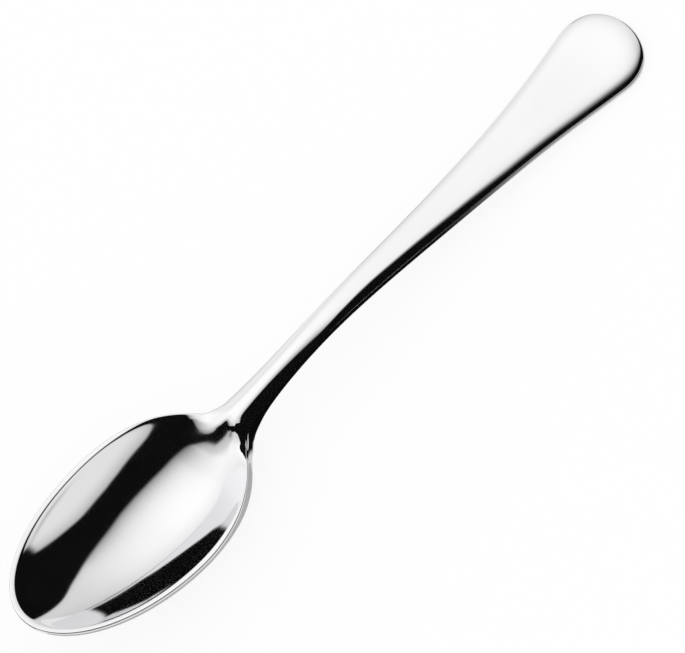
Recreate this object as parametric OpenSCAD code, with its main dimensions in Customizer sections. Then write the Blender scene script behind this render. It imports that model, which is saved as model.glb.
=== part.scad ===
// One-piece polished steel teaspoon, lying on its back on a flat surface.
// X runs from the bowl's tip to the handle's end, Y is across, and the table is at Z zero.
// The shape is drawn from the tip, then moved so that X is zero halfway along the spoon.
// The skin is a loft: rows of points fan out from a spine along the middle to the outline,
// go over the edge, and come back underneath to a second spine.

/* [Length] */
// Length from the bowl's tip to the handle's end
spoon_length = 138; // [126:1:150]

/* [Bowl] */
// Width across the bowl's rim at its widest place
bowl_width = 29.4; // [27:0.2:32]
// Distance from the tip back to the widest place
tip_reach = 25.5; // [23:0.5:28]
// Distance from the widest place back to the heel, where the bowl's oval would close
heel_reach = 19.2; // [17.5:0.1:21]
// Depth of the hollow below its rim
bowl_depth = 7.4; // [6:0.1:8.4]
// Thickness of the metal at the rim
rim_thick = 1.2; // [1:0.05:1.5]
// Thickness of the metal at the bottom of the bowl
floor_thick = 1.5; // [1.2:0.05:1.9]
// Width of the bright flat band along the rim, with its rounded outer edge
rim_band = 1; // [0.8:0.05:1.2]
// Width of the rounded outer edge of the rim
rim_edge = 0.35; // [0.25:0.05:0.4]

/* [Handle] */
// Width of the neck, the handle's narrowest place
neck_width = 4.95; // [4.4:0.05:5.8]
// Width of the handle where it is widest, near its end
end_width = 16; // [14:0.2:18]
// Length over which the outline rounds off at the handle's end
end_round = 9; // [8:0.2:11]
// Thickness of the neck along its middle
neck_thick = 3.2; // [3:0.05:3.6]
// Thickness of the handle near its end, along its middle
end_thick = 2.2; // [2:0.05:2.5]
// Thickness of the handle at its edges
handle_edge = 0.75; // [0.6:0.05:0.9]
// How far the fall of the handle's upper face reaches in from each side
crown_reach = 4.2; // [3.6:0.1:5]

/* [Hidden] */
steel = [0.80, 0.80, 0.81];

// Half sizes used by the outline.
bowl_half = bowl_width / 2;
neck_half = neck_width / 2;
end_half = end_width / 2;
end_mid = end_thick / 2;
handle_run = spoon_length - tip_reach - heel_reach;

// Side profile of the middle line, drawn as a smooth curve over evenly spaced stations from
// tip to end. One is the rim's height at the widest place and nought is the handle's lowest.
profile_shares = [2.04, 1.51, 1.12, 0.83, 0.89, 0.92, 0.60, 0.35, 0.145, -0.03, 0.80];

// Width of the handle from the bowl's heel to the end, drawn the same way. Nought is the
// neck's half width and one is the end's. The first flares into the bowl's shoulders.
flare_shares = [2.08, 0.36, -0.06, 0.04, 0.24, 0.545, 1.33, 1.68];

// Where each change along the handle's run begins and finishes: the flare, the thickening to the
// neck, the neck's crest, the change from a crest to a dome, the thinning to the end, the hollow's
// softer edge and the shoulder's fillet.
flare_from_share = -0.093;
swell_shares = [-0.12, 0.03];
crest_shares = [-0.033, 0.012];
dome_shares = [0.05, 0.5];
thin_shares = [0.16, 0.75];
soft_shares = [-0.19, 0.09];
fillet_shares = [-0.03, 0.041];
// How much of the crest comes already with the thickening.
early_share = 0.35;
// Where the handle's outline takes over from the bowl's, in tip reaches.
root_shares = [0.39, 1.49];
// Extra half width at the shoulder, in neck widths.
fillet_share = 0.4;

// The handle's crown, at the neck and at the end: its slope at the edge and how it fades inwards.
crown_slope_shares = [0.7, 0.6];
crown_powers = [1.2, 2.6];
// How softly the crown begins.
crown_soft_share = 0.3;
// Most that the crown may take of the handle's half width, and how tightly it keeps to that.
room_share = 0.97;
room_power = 4;

// Powers of the curves: the shoulder's blend, the rounded edge and the rounded end.
join_power = 5;
edge_power = 2.5;
end_power = 2.2;

// Steepness of the bowl's walls: nought is a parabola and one is upright at the rim.
wall_share = 0.5;
// How far past the heel the hollow and the underside of the bowl run, in heel lengths.
hollow_share = 1.1;
belly_share = 1.30;
// Softness of the hollow's edge in rim bands, along the sides and at the neck, and of the belly's.
soft_side_share = 0.25;
soft_neck_share = 0.8;
soft_belly_share = 1.8;

// Places along each row, from the spine at nought to the inner edge of the rim's band at one.
top_shares = [0, 0.12, 0.25, 0.38, 0.51, 0.63, 0.74, 0.83, 0.90, 0.95, 0.98, 1];
under_shares = [0, 0.16, 0.33, 0.50, 0.66, 0.80, 0.90, 0.96, 1];
// Places round the outer edge, in degrees from flat to upright.
edge_turns = [0, 26, 46, 62, 76, 90];

// Rows along one side: round the tip, along the bowl and the neck, along the handle, round the end.
tip_rows = 28;
bowl_rows = 28;
handle_rows = 22;
end_rows = 13;
tip_foot_share = 0.38;
end_foot_share = 0.55;
near_end_share = 1.3;
bowl_end_share = 1.6;
row_count = tip_rows + bowl_rows + handle_rows + end_rows;

// Smooth step from nought to one with no sudden change of curvature.
function step01(t) = let (u = max(0, min(1, t))) u * u * u * (10 - 15 * u + 6 * u * u);

// Smooth curve through evenly spaced shares, with t from nought to the last span.
function blend4(a, b, c, d, f) =
    (a * pow(1 - f, 3) + b * (3 * pow(f, 3) - 6 * f * f + 4)
    + c * (3 * f + 3 * f * f - 3 * pow(f, 3) + 1) + d * pow(f, 3)) / 6;
function curve(list, t) =
    let (spans = len(list) - 3)
    let (u = max(0, min(spans, t)))
    let (i = min(spans - 1, floor(u)))
    blend4(list[i], list[i + 1], list[i + 2], list[i + 3], u - i);

// Half width of the bowl's oval, of the handle with its fillet, and of the two joined.
function oval(x) =
    let (u = x < tip_reach ? (tip_reach - x) / tip_reach : (x - tip_reach) / heel_reach)
    bowl_half * sqrt(max(0, 1 - u * u));
function along(x) = (x - tip_reach - heel_reach) / handle_run;
function ramp(x, pair) = step01((along(x) - pair[0]) / (pair[1] - pair[0]));
function flare(x) =
    let (t = (along(x) - flare_from_share) / (1 - flare_from_share))
    let (fillet = neck_width * fillet_share * (1 - ramp(x, fillet_shares)))
    neck_half + (end_half - neck_half) * curve(flare_shares, t * (len(flare_shares) - 3)) + fillet;
function round_off(x) =
    let (u = max(0, x - spoon_length + end_round) / end_round)
    sqrt(max(0, 1 - pow(u, end_power)));
function handle_half(x) =
    let (root = (x / tip_reach - root_shares[0]) / (root_shares[1] - root_shares[0]))
    flare(x) * round_off(x) * step01(root);
function half(x) = pow(pow(oval(x), join_power) + pow(handle_half(x), join_power), 1 / join_power);

// Thickness of the metal along the middle and at the edge, and how much of the crest has come.
function thick(x) =
    rim_thick + (neck_thick - rim_thick) * ramp(x, swell_shares)
    + (end_thick - neck_thick) * ramp(x, thin_shares);
function crest(x) = early_share * ramp(x, swell_shares) + (1 - early_share) * ramp(x, crest_shares);
function edge_thick(x) = rim_thick + (handle_edge - rim_thick) * crest(x);

// How far the handle's upper face falls towards its edge, and how far its under face rises, for
// a row whose spine is room away from its edge.
function change(x, pair) = pair[0] + (pair[1] - pair[0]) * ramp(x, dome_shares);
function reach(room) =
    pow(pow(crown_reach, -room_power) + pow(room * room_share, -room_power), -1 / room_power);
function bend(q, power) =
    pow(q * q + crown_soft_share * crown_soft_share, power / 2) - pow(crown_soft_share, power);
function steep(power) = power * pow(1 + crown_soft_share * crown_soft_share, power / 2 - 1) / bend(1, power);
function above(x, room) =
    crest(x) * change(x, crown_slope_shares) * reach(room) / steep(change(x, crown_powers));
function below(x, room) = max(0, thick(x) - edge_thick(x) - above(x, room));
function fade(x, room, inset) =
    let (power = change(x, crown_powers))
    bend(max(0, 1 - inset / reach(room)), power) / bend(1, power);

// Depth of a dish whose rim is an oval: one in its middle, nought on its rim.
function dish(x, y, wide, front, back) =
    let (u = x < tip_reach ? (tip_reach - x) / front : (x - tip_reach) / back)
    let (away = u * u + y * y / (wide * wide))
    let (flat = sqrt(1 - wall_share))
    (sqrt(max(0, 1 - wall_share * away)) - flat) / (1 - flat);
function soften(d, soft) = (d + sqrt(d * d + soft * soft)) / 2;
function soft_at(x, neck_share) =
    rim_band * (soft_side_share + (neck_share - soft_side_share) * ramp(x, soft_shares));
function hollow(x, y) =
    soften(bowl_depth * dish(x, y, bowl_half - rim_band, tip_reach - rim_band, heel_reach * hollow_share),
        soft_at(x, soft_neck_share));
function belly(x, y) =
    let (depth = bowl_depth + floor_thick - rim_thick)
    soften(depth * dish(x, y, bowl_half, tip_reach, heel_reach * belly_share), soft_at(x, soft_belly_share));

// Rows: the place of each row's outer end and of its foot on the spine.
near_end = spoon_length - end_round * near_end_share;
bowl_end = tip_reach + heel_reach + neck_width * bowl_end_share;
function row_x(i) =
    i <= tip_rows ? tip_reach * (1 - cos(90 * i / tip_rows))
    : i <= tip_rows + bowl_rows ? tip_reach + (bowl_end - tip_reach) * (i - tip_rows) / bowl_rows
    : i <= row_count - end_rows
        ? bowl_end + (near_end - bowl_end) * (i - tip_rows - bowl_rows) / handle_rows
    : spoon_length - (spoon_length - near_end) * (1 - cos(90 * (row_count - i) / end_rows));
function foot_x(i) =
    i <= tip_rows ? tip_reach * (tip_foot_share + (1 - tip_foot_share) * i / tip_rows)
    : i <= row_count - end_rows ? row_x(i)
    : near_end + (spoon_length - near_end) * end_foot_share * (i - row_count + end_rows) / end_rows;
xs = [for (i = [0 : row_count]) row_x(i)];
feet = [for (i = [0 : row_count]) foot_x(i)];
rim = [for (x = xs) [x, half(x)]];

// Outward direction of the outline at each row, from its neighbours.
function turned(p) = [-p[1], p[0]] / norm(p);
function outward(i) =
    let (before = i == 0 ? [rim[1][0], -rim[1][1]] : rim[i - 1])
    let (after = i == row_count ? [rim[i - 1][0], -rim[i - 1][1]] : rim[i + 1])
    turned(after - before);
outs = [for (i = [0 : row_count]) outward(i)];

// Heights. The rim's height is worked out so that the bowl's underside just meets the table.
function drawn(x) = curve(profile_shares, x / spoon_length * (len(profile_shares) - 3));
lowest = min([for (x = xs) drawn(x)]);
widest = drawn(tip_reach);
function rise(x) = (drawn(x) - lowest) / (widest - lowest);
function under(x) = thick(x) / 2 + belly(x, 0);
rim_height = max([for (x = feet) if (x < tip_reach + heel_reach) end_mid + (under(x) - end_mid) / rise(x)]);
function middle(x) = end_mid + (rim_height - end_mid) * rise(x);
function top_z(x, y, room, inset, full) =
    let (fallen = above(x, room) * fade(x, room, inset) + (1 - full) * edge_thick(x) / 2)
    middle(x) + thick(x) / 2 - fallen - hollow(x, y);
function under_z(x, y, room, inset, full) =
    let (risen = below(x, room) * fade(x, room, inset) + (1 - full) * edge_thick(x) / 2)
    middle(x) - thick(x) / 2 + risen - belly(x, y);

// One row of points, from the upper spine over the edge to the lower spine.
function spot(i, inset) = rim[i] - outs[i] * inset;
function inner(i, share) = [feet[i], 0] + (spot(i, rim_band) - [feet[i], 0]) * share;
function edge_inset(turn) = rim_edge * (1 - pow(sin(turn), 2 / edge_power));
function edge_full(turn) = pow(max(0, cos(turn)), 2 / edge_power);
function from_edge(i, p) = (rim[i] - p) * outs[i];
rooms = [for (i = [0 : row_count]) from_edge(i, [feet[i], 0])];
function top_point(i, p, full) = [p[0], p[1], top_z(p[0], p[1], rooms[i], from_edge(i, p), full)];
function under_point(i, p, full) = [p[0], p[1], under_z(p[0], p[1], rooms[i], from_edge(i, p), full)];
function top_row(i) = concat(
    [for (s = top_shares) top_point(i, inner(i, s), 1)],
    [for (t = edge_turns) top_point(i, spot(i, edge_inset(t)), edge_full(t))]);
function under_row(i) = concat(
    [for (s = under_shares) under_point(i, inner(i, s), 1)],
    [for (t = edge_turns) if (t < 90) under_point(i, spot(i, edge_inset(t)), edge_full(t))]);
function backward(list) = [for (k = [len(list) - 1 : -1 : 0]) list[k]];

// Flipping a row to the other side of the spoon.
function flip(row) = [for (p = row) [p[0], -p[1], p[2]]];

// Skin: shared spine points first, then the rest of every row round the whole outline.
module skin() {
    half_rows = [for (i = [0 : row_count]) concat(top_row(i), backward(under_row(i)))];
    last = len(half_rows[0]) - 1;
    turns = 2 * row_count;
    spine = [for (row = half_rows) row[0]];
    keel = [for (row = half_rows) row[last]];
    rings = [for (i = [0 : turns - 1])
        for (c = [1 : last - 1])
            i <= row_count ? half_rows[i][c] : flip([half_rows[turns - i][c]])[0]];
    function back(i) = i <= row_count ? i : turns - i;
    function id(i, c) =
        let (k = i % turns)
        c == 0 ? back(k)
        : c == last ? row_count + 1 + back(k)
        : 2 * (row_count + 1) + k * (last - 1) + c - 1;
    // Each four-sided patch is cut so that no triangle lies flat in the plane between the two sides.
    function near_tip(i) = back(i) + back(i + 1) < row_count;
    function forward(i, c) = (i < row_count) == (near_tip(i) == (c < last / 2));
    faces = [for (i = [0 : turns - 1])
        for (c = [0 : last - 1])
            for (f = forward(i, c)
                ? [[id(i, c), id(i + 1, c), id(i + 1, c + 1)], [id(i, c), id(i + 1, c + 1), id(i, c + 1)]]
                : [[id(i, c), id(i + 1, c), id(i, c + 1)], [id(i + 1, c), id(i + 1, c + 1), id(i, c + 1)]])
                f];
    polyhedron(points = concat(spine, keel, rings), faces = faces);
}

module spoon() {
    color(steel) translate([-spoon_length / 2, 0, 0]) skin();
}

spoon();
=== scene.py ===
import math

import bpy
import numpy as np
from mathutils import Matrix, Vector


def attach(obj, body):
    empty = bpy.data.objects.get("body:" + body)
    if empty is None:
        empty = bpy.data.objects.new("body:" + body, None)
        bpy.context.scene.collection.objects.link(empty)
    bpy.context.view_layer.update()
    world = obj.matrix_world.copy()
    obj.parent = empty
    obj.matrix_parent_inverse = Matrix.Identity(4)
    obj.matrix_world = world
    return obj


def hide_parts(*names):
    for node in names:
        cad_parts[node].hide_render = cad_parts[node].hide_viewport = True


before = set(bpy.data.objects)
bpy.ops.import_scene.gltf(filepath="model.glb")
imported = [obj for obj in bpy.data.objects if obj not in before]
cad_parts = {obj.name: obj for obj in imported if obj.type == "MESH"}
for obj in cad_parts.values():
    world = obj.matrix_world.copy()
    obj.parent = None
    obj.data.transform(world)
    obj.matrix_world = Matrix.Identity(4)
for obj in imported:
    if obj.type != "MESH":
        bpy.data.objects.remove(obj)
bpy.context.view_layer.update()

# The spoon's own sizes in millimetres, the same as the part's source.
LENGTH = 138.0
BOWL_WIDTH, TIP_REACH, HEEL_REACH, BOWL_DEPTH = 29.4, 25.5, 19.2, 7.4
RIM_THICK, FLOOR_THICK, RIM_BAND, RIM_EDGE = 1.2, 1.5, 1.0, 0.35
NECK_WIDTH, END_WIDTH, END_ROUND = 4.95, 16.0, 9.0
NECK_THICK, END_THICK, HANDLE_EDGE, CROWN_REACH = 3.2, 2.2, 0.75, 4.2
# The side profile from tip to end, and the handle's width from the neck to the end, as shares.
PROFILE = (2.04, 1.51, 1.12, 0.83, 0.89, 0.92, 0.60, 0.35, 0.145, -0.03, 0.80)
FLARE = (2.08, 0.36, -0.06, 0.04, 0.24, 0.545, 1.33, 1.68)
FLARE_FROM = -0.093
# Where each change begins and ends, as shares of the handle's length past the bowl.
SWELL, CREST, THIN, SOFT = (-0.12, 0.03), (-0.033, 0.012), (0.16, 0.75), (-0.19, 0.09)
DOME, FILLET = (0.05, 0.5), (-0.03, 0.041)
# What share of the crest comes with the swelling, and where the handle grows out of the bowl, measured from
# the tip in shares of its reach.
EARLY, ROOT = 0.35, (0.39, 1.49)
FILLET_SIZE = 0.4
# How tightly the outlines of bowl and handle join, and how square the edge and the handle's end are.
JOIN_POWER, EDGE_POWER, END_POWER = 5.0, 2.5, 2.2
# The handle's crown: its slope at the edge, and how it fades inwards, at the neck and at the end.
CROWN_SLOPES, CROWN_POWERS, CROWN_SOFT = (0.70, 0.60), (1.2, 2.6), 0.3
# How much of the way from the edge to the middle line the crown may take.
ROOM, ROOM_POWER = 0.97, 4.0
# The bowl: how steep its wall is, how far its hollow and its belly run to the heel, and how softly they end.
WALL, HOLLOW_RUN, BELLY_RUN = 0.5, 1.10, 1.30
SOFT_SIDE, SOFT_NECK, SOFT_BELLY = 0.25, 0.8, 1.8

# Rows of the coarse solid, and how much finer the polished skin is.
TIP_ROWS, BOWL_ROWS, HANDLE_ROWS, END_ROWS = 28, 28, 22, 13
TIP_FOOT, END_FOOT, NEAR_END, BOWL_END = 0.38, 0.55, 1.3, 1.6
FINE = 4
TOP_COLUMNS, BAND_COLUMNS, EDGE_COLUMNS, UNDER_COLUMNS = 48, 7, 12, 30
# How the columns crowd together towards the rim.
TOP_CROWDING, UNDER_CROWDING = 2, 1.6

MM = 0.001


def step01(t):
    """A smooth step from 0 to 1."""
    u = np.clip(t, 0.0, 1.0)
    return u * u * u * (10 - 15 * u + 6 * u * u)


def curve(shares, t):
    """A uniform cubic B-spline over the given values."""
    v = np.asarray(shares, float)
    spans = len(v) - 3
    t = np.clip(t, 0, spans)
    i = np.minimum(np.floor(t).astype(int), spans - 1)
    f = t - i
    return ((1 - f) ** 3 * v[i] + (3 * f ** 3 - 6 * f * f + 4) * v[i + 1]
            + (3 * f + 3 * f * f - 3 * f ** 3 + 1) * v[i + 2] + f ** 3 * v[i + 3]) / 6


def along(x):
    """How far x is from the bowl's end to the handle's, as a share."""
    return (x - TIP_REACH - HEEL_REACH) / (LENGTH - TIP_REACH - HEEL_REACH)


def ramp(x, pair):
    return step01((along(x) - pair[0]) / (pair[1] - pair[0]))


def oval(x):
    u = np.where(x < TIP_REACH, (TIP_REACH - x) / TIP_REACH, (x - TIP_REACH) / HEEL_REACH)
    return BOWL_WIDTH / 2 * np.sqrt(np.maximum(0, 1 - u * u))


def flare(x):
    t = (along(x) - FLARE_FROM) / (1 - FLARE_FROM)
    fillet = NECK_WIDTH * FILLET_SIZE * (1 - ramp(x, FILLET))
    return NECK_WIDTH / 2 + (END_WIDTH - NECK_WIDTH) / 2 * curve(FLARE, t * (len(FLARE) - 3)) + fillet


def half(x):
    """Half the spoon's width."""
    u = np.maximum(0, x - LENGTH + END_ROUND) / END_ROUND
    end = np.sqrt(np.maximum(0, 1 - u ** END_POWER))
    root = step01((x / TIP_REACH - ROOT[0]) / (ROOT[1] - ROOT[0]))
    return (oval(x) ** JOIN_POWER + (flare(x) * end * root) ** JOIN_POWER) ** (1 / JOIN_POWER)


def thick(x):
    return RIM_THICK + (NECK_THICK - RIM_THICK) * ramp(x, SWELL) + (END_THICK - NECK_THICK) * ramp(x, THIN)


def crest(x):
    return EARLY * ramp(x, SWELL) + (1 - EARLY) * ramp(x, CREST)


def edge_thick(x):
    return RIM_THICK + (HANDLE_EDGE - RIM_THICK) * crest(x)


def change(x, pair):
    return pair[0] + (pair[1] - pair[0]) * ramp(x, DOME)


def bend(q, power):
    """Nought at nought with a soft start, then ever more like a power of q."""
    return (q * q + CROWN_SOFT ** 2) ** (power / 2) - CROWN_SOFT ** power


def crown(x, inset, room, side):
    """How far the handle's upper face has fallen from its middle, or its under face has risen."""
    reach = (CROWN_REACH ** -ROOM_POWER + (room * ROOM) ** -ROOM_POWER) ** (-1 / ROOM_POWER)
    power = change(x, CROWN_POWERS)
    steep = power * (1 + CROWN_SOFT ** 2) ** (power / 2 - 1) / bend(1, power)
    above = crest(x) * change(x, CROWN_SLOPES) * reach / steep
    size = above if side > 0 else np.maximum(0, thick(x) - edge_thick(x) - above)
    return size * bend(np.maximum(0, 1 - inset / reach), power) / bend(1, power)


def dish(x, y, wide, front, back):
    """A bowl shape that is 1 deep in its middle and 0 at its rim."""
    u = np.where(x < TIP_REACH, (TIP_REACH - x) / front, (x - TIP_REACH) / back)
    flat = math.sqrt(1 - WALL)
    return (np.sqrt(np.maximum(0, 1 - WALL * (u * u + y * y / (wide * wide)))) - flat) / (1 - flat)


def soften(depth, x, neck):
    soft = RIM_BAND * (SOFT_SIDE + (neck - SOFT_SIDE) * ramp(x, SOFT))
    return (depth + np.sqrt(depth * depth + soft * soft)) / 2


def hollow(x, y):
    d = dish(x, y, BOWL_WIDTH / 2 - RIM_BAND, TIP_REACH - RIM_BAND, HEEL_REACH * HOLLOW_RUN)
    return soften(BOWL_DEPTH * d, x, SOFT_NECK)


def belly(x, y):
    d = dish(x, y, BOWL_WIDTH / 2, TIP_REACH, HEEL_REACH * BELLY_RUN)
    return soften((BOWL_DEPTH + FLOOR_THICK - RIM_THICK) * d, x, SOFT_BELLY)


def row_places(last, finer):
    """Where each row's outer end and its foot on the spine lie, from tip to end."""
    i = np.arange(last * finer + 1) / finer
    near = LENGTH - END_ROUND * NEAR_END
    bowl_end = TIP_REACH + HEEL_REACH + NECK_WIDTH * BOWL_END
    a, b = TIP_ROWS, TIP_ROWS + BOWL_ROWS
    tip = TIP_REACH * (1 - np.cos(np.pi / 2 * i / a))
    bowl = TIP_REACH + (bowl_end - TIP_REACH) * (i - a) / BOWL_ROWS
    grip = bowl_end + (near - bowl_end) * (i - b) / HANDLE_ROWS
    end = LENGTH - (LENGTH - near) * (1 - np.cos(np.pi / 2 * (last - i) / END_ROWS))
    x = np.where(i <= a, tip, np.where(i <= b, bowl, np.where(i <= last - END_ROWS, grip, end)))
    foot = np.where(i <= a, TIP_REACH * (TIP_FOOT + (1 - TIP_FOOT) * i / a),
                    np.where(i <= last - END_ROWS, x,
                             near + (LENGTH - near) * END_FOOT * (i - last + END_ROWS) / END_ROWS))
    return x, foot


def heights():
    """The profile's scale: the belly of the bowl and the lowest of the handle both meet the table."""
    last = TIP_ROWS + BOWL_ROWS + HANDLE_ROWS + END_ROWS
    x, foot = row_places(last, 1)
    spans = (len(PROFILE) - 3) / LENGTH
    lowest = curve(PROFILE, x * spans).min()
    widest = float(curve(PROFILE, np.array([TIP_REACH * spans]))[0])
    f = foot[foot < TIP_REACH + HEEL_REACH]
    rise = (curve(PROFILE, f * spans) - lowest) / (widest - lowest)
    rim = (END_THICK / 2 + (thick(f) / 2 + belly(f, 0 * f) - END_THICK / 2) / rise).max()
    return spans, lowest, widest, float(rim)


SPANS, LOWEST, WIDEST, RIM_HEIGHT = heights()


def middle(x):
    rise = (curve(PROFILE, x * SPANS) - LOWEST) / (WIDEST - LOWEST)
    return END_THICK / 2 + (RIM_HEIGHT - END_THICK / 2) * rise


def skin():
    """Points and faces of the whole spoon: rows fan from the spine, go over the edge and come back under."""
    last = TIP_ROWS + BOWL_ROWS + HANDLE_ROWS + END_ROWS
    x, foot = row_places(last, FINE)
    rim = np.stack([x, half(x)], 1)
    before = np.vstack([rim[1] * (1, -1), rim[:-1]])
    after = np.vstack([rim[1:], rim[-2] * (1, -1)])
    way = after - before
    out = np.stack([-way[:, 1], way[:, 0]], 1) / np.linalg.norm(way, axis=1)[:, None]
    spine = np.stack([foot, 0 * foot], 1)
    room = ((rim - spine) * out).sum(1)[:, None]
    inner = rim - out * RIM_BAND
    turn = np.linspace(0, np.pi / 2, EDGE_COLUMNS + 1)
    insets = RIM_EDGE * (1 - np.sin(turn) ** (2 / EDGE_POWER))
    round_full = np.maximum(0, np.cos(turn)) ** (2 / EDGE_POWER)
    round_full[-1] = 0

    def columns(count, crowding, side):
        t = np.linspace(0, 1, count + 1)
        at = [spine + (inner - spine) * s for s in 1 - (1 - t) ** crowding]
        at += [rim - out * d for d in np.linspace(RIM_BAND, RIM_EDGE, BAND_COLUMNS + 1)[1:-1]]
        keep = slice(None) if side > 0 else slice(-1)
        full = [1.0] * len(at) + list(round_full[keep])
        at += [rim - out * d for d in insets[keep]]
        p = np.stack(at, 1)
        inset = ((rim[:, None] - p) * out[:, None]).sum(2)
        gx, gy = p[..., 0], p[..., 1]
        fallen = crown(gx, inset, room, side) + (1 - np.asarray(full)) * edge_thick(gx) / 2
        z = middle(gx) + side * (thick(gx) / 2 - fallen)
        z -= hollow(gx, gy) if side > 0 else belly(gx, gy)
        return np.concatenate([p, z[..., None]], 2)

    top, under = columns(TOP_COLUMNS, TOP_CROWDING, 1), columns(UNDER_COLUMNS, UNDER_CROWDING, -1)
    one_side = np.concatenate([top, under[:, ::-1]], 1)
    one_side[..., 0] -= LENGTH / 2
    rows, cols = one_side.shape[:2]
    spine_id = np.arange(rows)
    other = one_side[1:-1][::-1] * (1, -1, 1)
    rings = np.concatenate([one_side, other])[:, 1:-1]
    points = np.concatenate([one_side[:, 0], one_side[:, -1], rings.reshape(-1, 3)])
    back = np.concatenate([spine_id, spine_id[1:-1][::-1]])
    ring_id = 2 * rows + np.arange(len(rings) * (cols - 2)).reshape(len(rings), cols - 2)
    grid = np.concatenate([back[:, None], ring_id, rows + back[:, None]], 1)
    nxt = np.roll(grid, -1, axis=0)
    faces = np.stack([grid[:, :-1], nxt[:, :-1], nxt[:, 1:], grid[:, 1:]], 2).reshape(-1, 4)
    return points * MM, faces


def add_object(name, mesh):
    piece = bpy.data.objects.new(name, mesh)
    bpy.context.scene.collection.objects.link(piece)
    return piece


def build_spoon():
    points, faces = skin()
    mesh = bpy.data.meshes.new("polished_spoon")
    mesh.from_pydata(points.tolist(), [], faces[:, ::-1].tolist())
    mesh.validate()
    mesh.shade_smooth()
    mesh.update()
    return add_object("polished_spoon", mesh)


def node(tree, kind, place, **settings):
    n = tree.nodes.new(kind)
    n.location = place
    for key, value in settings.items():
        setattr(n, key, value)
    return n


def plug(tree, value, socket):
    """Gives a socket a plain number, or links another node's output to it."""
    if isinstance(value, (int, float)):
        socket.default_value = value
    else:
        tree.links.new(value, socket)


def maths(tree, operation, *values):
    """One Math node; each value is a number or another node's output."""
    n = tree.nodes.new("ShaderNodeMath")
    n.operation = operation
    for socket, value in zip(n.inputs, values):
        plug(tree, value, socket)
    return n.outputs[0]


def product(tree, first, *others):
    for value in others:
        first = maths(tree, "MULTIPLY", first, value)
    return first


def rest_of(tree, share):
    return maths(tree, "SUBTRACT", 1.0, share)


def past(tree, value, start):
    """How far a value is past its start, and nought before it."""
    return maths(tree, "MAXIMUM", maths(tree, "SUBTRACT", value, start), 0.0)


def blend(tree, share, first, second):
    """The first value where the share is 0, and the second where it is 1."""
    n = node(tree, "ShaderNodeMix", (-200, 0), data_type="FLOAT")
    for index, value in ((0, share), (2, first), (3, second)):
        plug(tree, value, n.inputs[index])
    return n.outputs[0]


def smooth_step(tree, value, span):
    """Nought up to the span's first value, 1 from its second one on, and smooth in between."""
    n = tree.nodes.new("ShaderNodeMapRange")
    n.interpolation_type = "SMOOTHERSTEP"
    n.inputs["From Min"].default_value, n.inputs["From Max"].default_value = span
    tree.links.new(value, n.inputs["Value"])
    return n.outputs["Result"]


def float_curve(tree, source, span, points):
    """A smooth curve through points given as pairs; the first value of each pair lies in the span."""
    n = tree.nodes.new("ShaderNodeFloatCurve")
    line = n.mapping.curves[0]
    low, length = span[0], span[1] - span[0]
    bottom = min(y for _, y in points)
    rise = max(max(y for _, y in points) - bottom, 1e-6)
    shares = [((x - low) / length, (y - bottom) / rise) for x, y in points]
    while len(line.points) < len(shares):
        line.points.new(0.5, 0.5)
    for p, (x, y) in zip(line.points, shares):
        p.location = (x, y)
    n.mapping.update()
    tree.links.new(maths(tree, "MULTIPLY_ADD", source, 1 / length, -low / length), n.inputs["Value"])
    return maths(tree, "MULTIPLY_ADD", n.outputs["Value"], rise, bottom)


def empty_material(name):
    mat = bpy.data.materials.new(name)
    mat.use_nodes = True
    mat.node_tree.nodes.clear()
    return mat


def mix_to_surface(tree, share, first, second):
    """Sends the first shader to the surface where the share is 0, and the second where it is 1."""
    mix = node(tree, "ShaderNodeMixShader", (200, 0))
    tree.links.new(share, mix.inputs[0])
    tree.links.new(first.outputs[0], mix.inputs[1])
    tree.links.new(second.outputs[0], mix.inputs[2])
    end = node(tree, "ShaderNodeOutputMaterial", (400, 0))
    tree.links.new(mix.outputs[0], end.inputs["Surface"])


# Polished steel: its two tints, its roughness, and what the haze and the polishing marks add to that.
TINTS = (0.80, 0.80, 0.81, 1), (0.77, 0.77, 0.78, 1)
ROUGHNESS, HAZE_ROUGH, MARKS_ROUGH = 0.022, 0.05, 0.02
HAZE_SCALE, HAZE_DETAIL = 170.0, 4.0
MARKS_SCALE, MARKS_DETAIL = (60, 2600, 2600), 3.0
MARKS_STRENGTH, MARKS_HEIGHT = 0.02, 0.00002


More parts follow.
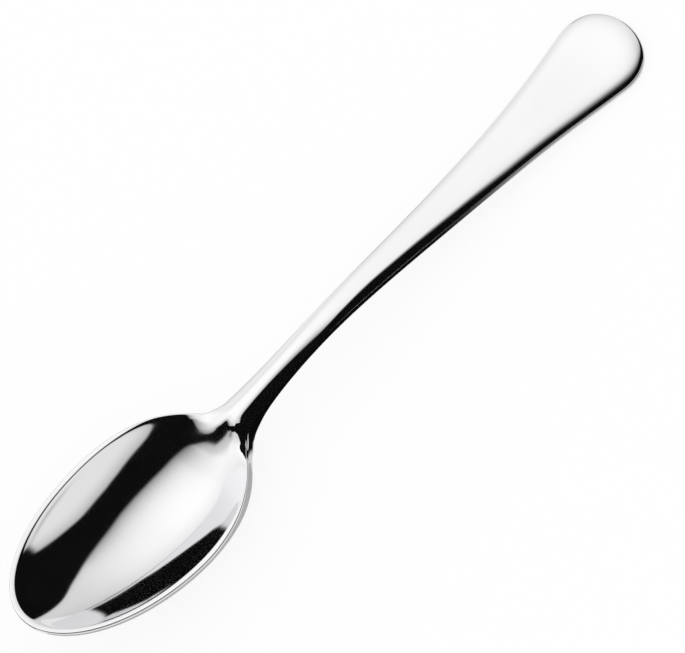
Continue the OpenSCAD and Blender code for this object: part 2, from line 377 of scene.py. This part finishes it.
def steel_material():
    mat = bpy.data.materials.new("polished_steel")
    mat.use_nodes = True
    tree = mat.node_tree
    shader = tree.nodes["Principled BSDF"]
    shader.inputs["Metallic"].default_value = 1.0
    place = node(tree, "ShaderNodeTexCoord", (-1200, 0))
    # Polishing marks: very fine lines that run along the spoon.
    lines = node(tree, "ShaderNodeMapping", (-1000, 0))
    lines.inputs["Scale"].default_value = MARKS_SCALE
    tree.links.new(place.outputs["Object"], lines.inputs["Vector"])
    marks = node(tree, "ShaderNodeTexNoise", (-800, 0))
    marks.inputs["Scale"].default_value = 1.0
    marks.inputs["Detail"].default_value = MARKS_DETAIL
    tree.links.new(lines.outputs["Vector"], marks.inputs["Vector"])
    # Handling haze: soft patches a few millimetres across.
    haze = node(tree, "ShaderNodeTexNoise", (-800, -300))
    haze.inputs["Scale"].default_value = HAZE_SCALE
    haze.inputs["Detail"].default_value = HAZE_DETAIL
    tree.links.new(place.outputs["Object"], haze.inputs["Vector"])
    rough = maths(tree, "MULTIPLY_ADD", haze.outputs["Fac"], HAZE_ROUGH, ROUGHNESS)
    rough = maths(tree, "MULTIPLY_ADD", marks.outputs["Fac"], MARKS_ROUGH, rough)
    tree.links.new(rough, shader.inputs["Roughness"])
    tint = node(tree, "ShaderNodeMix", (-400, 200), data_type="RGBA")
    tint.inputs[6].default_value, tint.inputs[7].default_value = TINTS
    tree.links.new(haze.outputs["Fac"], tint.inputs[0])
    tree.links.new(tint.outputs[2], shader.inputs["Base Color"])
    bump = node(tree, "ShaderNodeBump", (-400, -200))
    bump.inputs["Strength"].default_value = MARKS_STRENGTH
    bump.inputs["Distance"].default_value = MARKS_HEIGHT
    tree.links.new(marks.outputs["Fac"], bump.inputs["Height"])
    tree.links.new(bump.outputs["Normal"], shader.inputs["Normal"])
    return mat


# The studio, in degrees from straight up: along the spoon towards its handle, then across it, away from the
# camera's side. A pair of values in brackets is where a change begins and ends.
SIDES = (-90, 90)
# The far edge and the near edge of the dark opening that the camera looks through.
FAR_EDGE = ((-90, 70), (-62, 27), (-53, 0), (-48, -8.5), (-42, -13), (-30, -18), (-18, -20.5), (0, -22.5),
            (18, -20), (30, -13), (42, -3), (54, 14.5), (66, 39.5), (78, 52), (90, 66))
NEAR_EDGE = ((-90, -30), (-44, -42.5), (-36, -48.2), (-28, -49.8), (-18, -51), (-10, -51.2), (0, -50),
             (6, -48.5), (12, -47.1), (18, -45), (24, -42.9), (30, -40.2), (36, -37.6), (43, -36), (54, -33.7),
             (90, -28))
# How quickly the softbox brightens past the far edge, and how soft its start is.
FALL_OFF = ((-90, 8), (-60, 8), (-52, 10), (-44, 22), (-30, 17), (-18, 15), (0, 14), (30, 12), (42, 8), (54, 3),
            (90, 2.5))
PANEL_START = (0.0, 6.0)
# How bright each part of the softbox is, with how the parts lean from a height on, and its tone by height.
PANEL_TONE = ((-90, 0.5), (-62, 0.5), (-53, 0.66), (-44, 0.99), (-30, 1.0), (0, 1.0), (20, 0.94), (35, 0.86),
              (50, 0.72), (62, 0.66), (90, 0.66))
TONE_LEAN_FROM, TONE_LEAN = 30.0, 0.18
HIGH_TONE = ((-90, 1), (44, 1), (56, 0.96), (68, 0.885), (78, 0.84), (88, 0.89), (120, 0.9), (180, 0.9))
HEIGHTS = (-90, 180)
# The softbox's left end, with how far it leans out higher up.
PANEL_LEFT, LEAN_FROM, LEAN_OUT = (-58.5, -55.5), 30, 0.25
# The dimmer strip under the softbox: its tone, its left and right sides, and the angle at which it begins.
UNDER_TONE, UNDER_LEFT, UNDER_RIGHT, UNDER_FROM = 0.5, (16.0, 24.0), (40.0, 50.0), (79.0, 84.0)
# The small panel on the near side: its lowest tone, how it brightens, its edge, its right side and its foot.
NEAR_TONE, NEAR_RISE, NEAR_RISE_OVER, NEAR_START = 0.42, 0.33, (-6.0, 16.0), (-1.5, 2.5)
NEAR_RIGHT, NEAR_FOOT = (57.0, 62.0), (71.0, 74.0)
# Light that the steel has turned back twice or more sees a dark gap instead: its left side, which changes with
# the height, its right side, its lower side, how soft the sides are, and the tones around it.
GAP_LEFT = ((-10, 60), (0, 40), (6, 29), (10, 23), (14, 16.5), (18, 11.6), (22, 7.3), (26, 3.8), (30, 1.1),
            (36, -2.8), (42, -6.3), (48, -7.9), (58, -9.5), (66, -10))
GAP_HEIGHTS, GAP_LEFT_SOFT, GAP_RIGHT, GAP_LOW = (-10, 66), (-2.0, 3.0), (48.0, 51.0), (4.5, 8.5)
TWICE_TONE = ((-90, 1.15), (-50, 1.2), (-30, 1.08), (-14, 0.95), (20, 0.92), (50, 0.83), (90, 0.9))
# From the third time on the gap begins at one place, and its right side comes in: so far, and more with the
# height. For the fourth time it comes in further.
GAP_LEFT_LATER, GAP_IN_THIRD, GAP_LEAN, GAP_IN_FOURTH = -10.5, 1.5, 0.27, 12.5
# What share of the light the steel turns back, and the little light that reaches black things.
STEEL_SHARE, DARK = 0.79, 0.0035


def directions(tree):
    """Each direction of the world as an angle from straight up, along the spoon and across it, and in all."""
    way = node(tree, "ShaderNodeTexCoord", (-2400, 0))
    part = node(tree, "ShaderNodeSeparateXYZ", (-2200, 0))
    tree.links.new(way.outputs["Generated"], part.inputs[0])
    x, y, z = part.outputs
    degrees = product(tree, maths(tree, "ARCCOSINE", z), 180 / math.pi)
    flat = maths(tree, "SQRT", rest_of(tree, product(tree, z, z)))
    scale = maths(tree, "DIVIDE", degrees, maths(tree, "MAXIMUM", flat, 1e-4))
    return product(tree, x, scale), product(tree, y, scale), degrees


def panels(tree, gx, gy, degrees):
    """The large softbox on the far side and the small panel on the near side."""
    inside = past(tree, gy, float_curve(tree, gx, SIDES, FAR_EDGE))
    fall = float_curve(tree, gx, SIDES, FALL_OFF)
    glow = rest_of(tree, maths(tree, "EXPONENT", maths(tree, "DIVIDE", product(tree, inside, -1.0), fall)))
    glow = product(tree, glow, smooth_step(tree, inside, PANEL_START))
    leaning = maths(tree, "MULTIPLY_ADD", past(tree, gy, TONE_LEAN_FROM), TONE_LEAN, gx)
    tone = float_curve(tree, leaning, SIDES, PANEL_TONE)
    far = product(tree, glow, tone, float_curve(tree, gy, HEIGHTS, HIGH_TONE))
    right_of = maths(tree, "MULTIPLY_ADD", past(tree, gy, LEAN_FROM), LEAN_OUT, gx)
    far = product(tree, far, smooth_step(tree, right_of, PANEL_LEFT))
    under = product(tree, smooth_step(tree, gx, UNDER_LEFT), smooth_step(tree, degrees, UNDER_FROM),
                    rest_of(tree, smooth_step(tree, gx, UNDER_RIGHT)))
    far = product(tree, far, maths(tree, "MULTIPLY_ADD", under, UNDER_TONE - 1, 1.0))
    before = maths(tree, "SUBTRACT", float_curve(tree, gx, SIDES, NEAR_EDGE), gy)
    near = maths(tree, "MULTIPLY_ADD", smooth_step(tree, before, NEAR_RISE_OVER), NEAR_RISE, NEAR_TONE)
    near = product(tree, near, smooth_step(tree, before, NEAR_START),
                   rest_of(tree, smooth_step(tree, gx, NEAR_RIGHT)),
                   rest_of(tree, smooth_step(tree, degrees, NEAR_FOOT)))
    return maths(tree, "ADD", far, near)


def seen_twice(tree, gx, gy, bounces):
    """What light sees that the steel has turned back twice or more."""
    third = maths(tree, "GREATER_THAN", bounces, 2.5)
    fourth = maths(tree, "GREATER_THAN", bounces, 3.5)
    left = blend(tree, third, float_curve(tree, gy, GAP_HEIGHTS, GAP_LEFT), GAP_LEFT_LATER)
    inward = product(tree, third, maths(tree, "MULTIPLY_ADD", gy, GAP_LEAN, GAP_IN_THIRD))
    inward = maths(tree, "MULTIPLY_ADD", fourth, GAP_IN_FOURTH, inward)
    gap = product(tree, smooth_step(tree, maths(tree, "SUBTRACT", gx, left), GAP_LEFT_SOFT),
                  rest_of(tree, smooth_step(tree, maths(tree, "ADD", gx, inward), GAP_RIGHT)),
                  smooth_step(tree, gy, GAP_LOW))
    return product(tree, rest_of(tree, gap), float_curve(tree, gx, SIDES, TWICE_TONE))


def build_world():
    """The studio for the steel, and plain white for the camera and for the light on the table."""
    world = bpy.data.worlds.new("studio")
    bpy.context.scene.world = world
    world.use_nodes = True
    tree = world.node_tree
    tree.nodes.clear()
    gx, gy, degrees = directions(tree)
    ray = node(tree, "ShaderNodeLightPath", (-900, 500)).outputs
    second = maths(tree, "GREATER_THAN", ray["Glossy Depth"], 1.5)
    studio = blend(tree, second, panels(tree, gx, gy, degrees), seen_twice(tree, gx, gy, ray["Glossy Depth"]))
    light = maths(tree, "MULTIPLY_ADD", studio, 1 / STEEL_SHARE, DARK)
    seen = blend(tree, ray["Is Camera Ray"], blend(tree, ray["Is Glossy Ray"], 1.0, light), 1.0)
    shade = node(tree, "ShaderNodeBackground", (0, 0))
    shade.inputs["Color"].default_value = (1, 1, 1, 1)
    tree.links.new(seen, shade.inputs["Strength"])
    end = node(tree, "ShaderNodeOutputWorld", (200, 0))
    tree.links.new(shade.outputs[0], end.inputs["Surface"])


# The table: half its side in metres, its colour, and the share of plain white in what the camera and what
# mirrors see of it.
TABLE_HALF, TABLE_COLOUR, WHITE_SEEN, WHITE_MIRRORED = 1.5, (0.97, 0.97, 0.97, 1), 0.86, 0.2


def build_floor():
    mesh = bpy.data.meshes.new("table")
    corners = ((-1, -1), (1, -1), (1, 1), (-1, 1))
    mesh.from_pydata([(x * TABLE_HALF, y * TABLE_HALF, 0) for x, y in corners], [], [(0, 1, 2, 3)])
    floor = add_object("table", mesh)
    mat = empty_material("table_white")
    tree = mat.node_tree
    lit = node(tree, "ShaderNodeBsdfDiffuse", (0, 0))
    lit.inputs["Color"].default_value = TABLE_COLOUR
    glow = node(tree, "ShaderNodeEmission", (0, -200))
    glow.inputs["Strength"].default_value = 1.0
    ray = node(tree, "ShaderNodeLightPath", (-400, 200)).outputs
    mirrored = maths(tree, "MAXIMUM", ray["Is Glossy Ray"], ray["Is Transmission Ray"])
    share = product(tree, ray["Is Camera Ray"], WHITE_SEEN)
    share = maths(tree, "MULTIPLY_ADD", mirrored, WHITE_MIRRORED, share)
    mix_to_surface(tree, share, lit, glow)
    mesh.materials.append(mat)


def card(name, rows, cover):
    """A black card, or a strip of painted shade on the table, near the spoon: the steel reflects it, and
    neither the camera nor the table sees it.

    Its points are given row by row, and how well each row covers is a share from 0 to 1.
    """
    wide = len(rows[0])
    mesh = bpy.data.meshes.new(name)
    points = [((x - LENGTH / 2) * MM, y * MM, z * MM) for row in rows for x, y, z in row]
    faces = [(r * wide + c, r * wide + c + 1, (r + 1) * wide + c + 1, (r + 1) * wide + c)
             for r in range(len(rows) - 1) for c in range(wide - 1)]
    mesh.from_pydata(points, [], faces)
    solid = mesh.attributes.new("cover", "FLOAT", "POINT")
    for i in range(len(points)):
        solid.data[i].value = cover[i // wide]
    piece = add_object(name, mesh)
    mat = empty_material(name)
    tree = mat.node_tree
    share = node(tree, "ShaderNodeAttribute", (-400, 0), attribute_name="cover")
    clear = node(tree, "ShaderNodeBsdfTransparent", (-200, 0))
    black = node(tree, "ShaderNodeEmission", (-200, -200))
    black.inputs["Strength"].default_value = DARK
    mix_to_surface(tree, smooth_step(tree, share.outputs["Fac"], (0.0, 1.0)), clear, black)
    mesh.materials.append(mat)
    piece.visible_camera = False
    piece.visible_diffuse = False
    piece.visible_shadow = False


# The cards and the strips of painted shade, in millimetres; x runs from the tip. Over the spoon: x, the place
# of the edge, how soft it is.
OVER_EDGE = ((-10, -15.5, 1), (42, -15.5, 1), (50, -13.5, 1.5), (58, -16, 2), (66, -21, 2), (74, -20, 2.5),
             (80, -13, 3), (88, -3, 4), (98, 7, 6), (108, 8, 8), (116, 1, 11), (124, -9, 14), (134, -16, 17),
             (146, -20, 19), (260, -22, 19))
OVER_HEIGHT, OVER_BACK = 60, -40
# The painted shade by the handle, a dark strip that only the steel reflects: x and cover, then how far off the
# strip begins and stands up, and how far over the edge.
PAINTED_SHADE_BY_HANDLE = ((46, 0), (47.5, 1), (52, 1), (64, 1), (78, 1), (92, 0.9), (106, 0.6), (118, 0.45), (128, 0.4),
             (134, 0.35), (137, 0))
HANDLE_NEAR, HANDLE_FAR, HANDLE_OVER = 1, 3.2, 3.3
# The painted shade on the table by the bowl and behind it, dark strips that only the steel reflects: places
# along x, then from how far to how far off, and the cover.
BOWL_PLACES = (0.02, 0.4, 1.6, 4, 8, 13, 19, 25, 31, 36, 40, 43, 45.5)
PAINTED_SHADE_BY_BOWL, PAINTED_SHADE_BY_BOWL_COVER = (1, 9), 0.45
PAINTED_SHADE_BEHIND_BOWL, PAINTED_SHADE_BEHIND_COVER = (7, 38), 0.55
# A small flag just over the shoulder, for the dark that joins the bowl's to the neck's: its two sides.
FLAG = (((39.6, 2.7), (39.9, 3.1)), ((40.9, 1.9), (41.5, 2.4)), ((41.8, 0.2), (43.2, 0.6)),
        ((42.9, -0.9), (44.3, -0.7)), ((43.3, -1.9), (45.6, -1.1)), ((42.9, -2.6), (46.6, -1.9)),
        ((43.2, -3.4), (46.2, -3.2)), ((44.2, -4.4), (45.5, -4.4)))
FLAG_HEIGHT = 9.6
ON_TABLE = 0.3
NEAR_SIDE, FAR_SIDE = -1, 1


def beside(x, side, away, over_edge=None):
    """A place beside the outline: on the table, or so far over the height of the spoon's edge."""
    at, step = np.array([float(x)]), 0.01
    slope = float((half(at + step) - half(at - step))[0]) / (2 * step)
    size = math.hypot(slope, 1)
    if over_edge is None:
        z = ON_TABLE
    else:
        z = float((middle(at) + thick(at) / 2 - edge_thick(at))[0]) + over_edge
    return x - away * slope / size, side * (float(half(at)[0]) + away / size), z


def build_cards():
    card("card_over", [[(x, OVER_BACK, OVER_HEIGHT) for x, y, soft in OVER_EDGE],
                       [(x, y - soft, OVER_HEIGHT) for x, y, soft in OVER_EDGE],
                       [(x, y + soft, OVER_HEIGHT) for x, y, soft in OVER_EDGE]], (1, 1, 0))
    # The strips are painted shade on the table around the spoon, which only the steel reflects: they lie on the
    # table and follow the outline; the one by the handle also stands up.
    card("painted_shade_by_handle", [[beside(x, NEAR_SIDE, HANDLE_NEAR), beside(x, NEAR_SIDE, HANDLE_FAR),
                             beside(x, NEAR_SIDE, HANDLE_FAR, HANDLE_OVER)] for x, cover in PAINTED_SHADE_BY_HANDLE],
         [cover for x, cover in PAINTED_SHADE_BY_HANDLE])
    # Painted shade on the table by the bowl's near side, seen only in the steel.
    card("painted_shade_by_bowl", [[beside(x, NEAR_SIDE, away) for away in PAINTED_SHADE_BY_BOWL] for x in BOWL_PLACES],
         [PAINTED_SHADE_BY_BOWL_COVER] * len(BOWL_PLACES))
    card("card_over_heel", [[(x, y, FLAG_HEIGHT) for x, y in row] for row in FLAG], [1] * len(FLAG))
    # Painted shade on the table behind the bowl, seen only in the steel.
    card("painted_shade_behind_bowl", [[beside(x, FAR_SIDE, away) for away in PAINTED_SHADE_BEHIND_BOWL] for x in BOWL_PLACES],
         [PAINTED_SHADE_BEHIND_COVER] * (len(BOWL_PLACES) - 1) + [0])


# The camera looks down at the spoon from its near side, with the picture turned on its own axis.
HEADING, LOOK_DOWN, TURNED = map(math.radians, (12.7, 61.0, 36.0))
PIXELS_PER_MM, DISTANCE = 6.191, 1000.0
# Where the picture shows the world's origin, and the point of the picture that the camera's axis goes through.
AIM_PIXEL, IMAGE_MIDDLE = (341.44, 336.41), (342.0, 326.0)
IMAGE_WIDTH, SENSOR = 685, 36.0
CLIP = (0.01, 20.0)


def build_camera():
    right = Vector((math.cos(HEADING), -math.sin(HEADING), 0))
    level, down = math.cos(LOOK_DOWN), math.sin(LOOK_DOWN)
    ahead = Vector((math.sin(HEADING) * level, math.cos(HEADING) * level, -down))
    above = right.cross(ahead)
    across = right * math.cos(TURNED) - above * math.sin(TURNED)
    upward = right * math.sin(TURNED) + above * math.cos(TURNED)
    spot = ahead * -DISTANCE
    spot -= across * (AIM_PIXEL[0] - IMAGE_MIDDLE[0]) / PIXELS_PER_MM
    spot += upward * (AIM_PIXEL[1] - IMAGE_MIDDLE[1]) / PIXELS_PER_MM
    data = bpy.data.cameras.new("camera")
    data.sensor_width = SENSOR
    data.sensor_fit = "HORIZONTAL"
    data.lens = PIXELS_PER_MM * DISTANCE * SENSOR / IMAGE_WIDTH
    data.clip_start, data.clip_end = CLIP
    camera = add_object("camera", data)
    turn = Matrix((across, upward, -ahead)).transposed().to_4x4()
    camera.matrix_world = Matrix.Translation(spot * MM) @ turn
    bpy.context.scene.camera = camera


spoon = build_spoon()
spoon.data.materials.append(steel_material())
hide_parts("spoon")
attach(spoon, "root")
build_world()
build_floor()
build_cards()
build_camera()
bpy.context.scene.view_settings.view_transform = "Standard"
